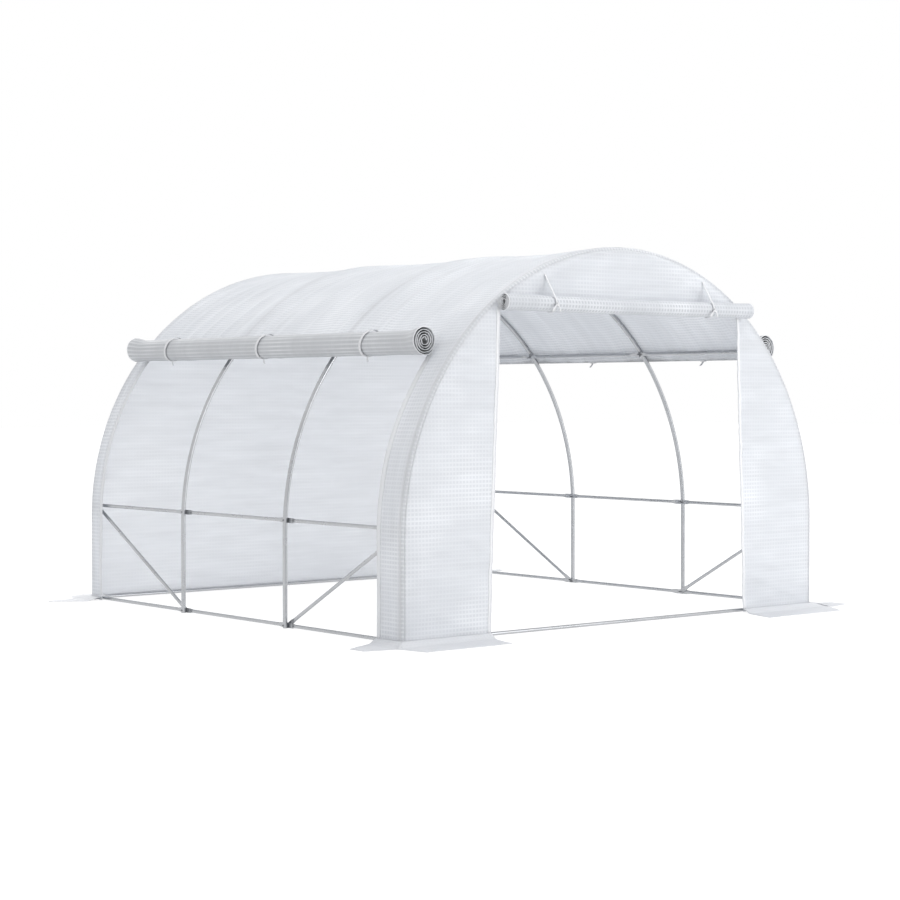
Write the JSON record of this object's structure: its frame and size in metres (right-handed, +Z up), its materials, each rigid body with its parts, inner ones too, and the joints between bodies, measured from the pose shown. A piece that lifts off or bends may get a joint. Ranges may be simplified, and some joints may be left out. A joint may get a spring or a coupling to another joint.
{
  "type": "polytunnel greenhouse",
  "caption": "Walk-in polytunnel greenhouse: galvanised tube hoops with bolted rails and braces under a white ripstop cover, its door and side walls rolled up and tied.",
  "frame": {"origin": "on the ground, under the middle of the tunnel", "axes": "X across the tunnel, Y along it from the doorway at -Y to the closed back wall, Z up"},
  "size_m": [3.5466, 3.5466, 2.0031],
  "materials": {
    "galvanised_steel": "dull galvanised",
    "cover_sheet": "white ripstop sheet",
    "rolled_sheet": "white ripstop sheet, rolled",
    "webbing": "white webbing",
    "zip_tape": "white zip tape"
  },
  "bodies": {
    "root": {"front_hoop": "galvanised_steel", "mid_front_hoop": "galvanised_steel", "mid_back_hoop": "galvanised_steel", "back_hoop": "galvanised_steel", "left_legs": "galvanised_steel", "right_legs": "galvanised_steel", "left_ground_rails": "galvanised_steel", "right_ground_rails": "galvanised_steel", "left_waist_rails": "galvanised_steel", "right_waist_rails": "galvanised_steel", "left_eave_rails": "galvanised_steel", "right_eave_rails": "galvanised_steel", "ridge_rails": "galvanised_steel", "left_braces": "galvanised_steel", "right_braces": "galvanised_steel", "front_sill": "galvanised_steel", "back_sill": "galvanised_steel", "roof_cover": "cover_sheet", "front_left_strip": "cover_sheet", "front_right_strip": "cover_sheet", "back_left_strip": "cover_sheet", "back_right_strip": "cover_sheet", "front_left_panel": "cover_sheet", "front_right_panel": "cover_sheet", "front_gable": "cover_sheet", "back_panel": "cover_sheet", "left_side_roll": "rolled_sheet", "right_side_roll": "rolled_sheet", "left_roll_straps": "webbing", "right_roll_straps": "webbing", "door_roll": "rolled_sheet", "door_ties": "webbing", "left_door_zip": "zip_tape", "right_door_zip": "zip_tape", "front_left_skirt": "cover_sheet", "front_right_skirt": "cover_sheet", "back_skirt": "cover_sheet", "front_left_side_skirt": "cover_sheet", "front_right_side_skirt": "cover_sheet", "back_left_side_skirt": "cover_sheet", "back_right_side_skirt": "cover_sheet"}
  },
  "joints": []
}
